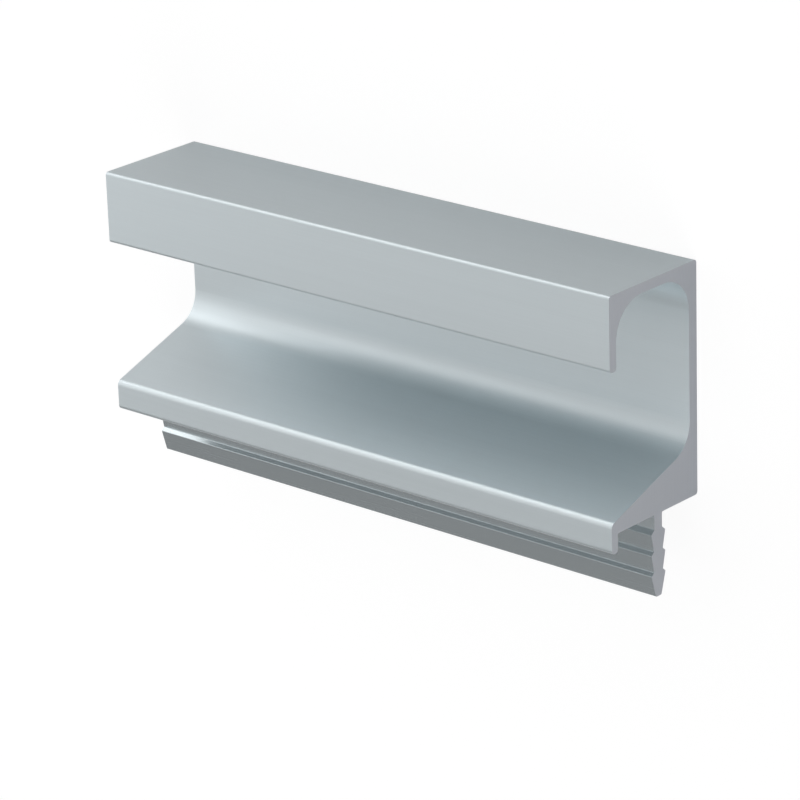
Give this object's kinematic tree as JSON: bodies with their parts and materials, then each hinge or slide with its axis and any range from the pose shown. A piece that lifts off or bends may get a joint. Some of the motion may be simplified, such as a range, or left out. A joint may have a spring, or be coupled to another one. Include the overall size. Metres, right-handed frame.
{
  "type": "aluminium handle profile",
  "caption": "Aluminium handle profile, extruded in one piece: hooked finger grip, sloping lip with drip edge, and a barbed tongue pressed into a groove in the edge of a panel.",
  "frame": {"origin": "centre of the footprint of the profile as it lies on its flat back plate, on the surface that it lies on", "axes": "+X along the length, +Y from the tongue towards the top wall of the grip, +Z out of the back plate, through the mouth of the grip"},
  "size_m": [0.1, 0.0496, 0.0204],
  "materials": {
    "anodised_aluminium": "satin silver anodised, with fine lines along the length and plain sawn ends"
  },
  "bodies": {
    "root": {"handle_profile": "anodised_aluminium"}
  },
  "joints": []
}
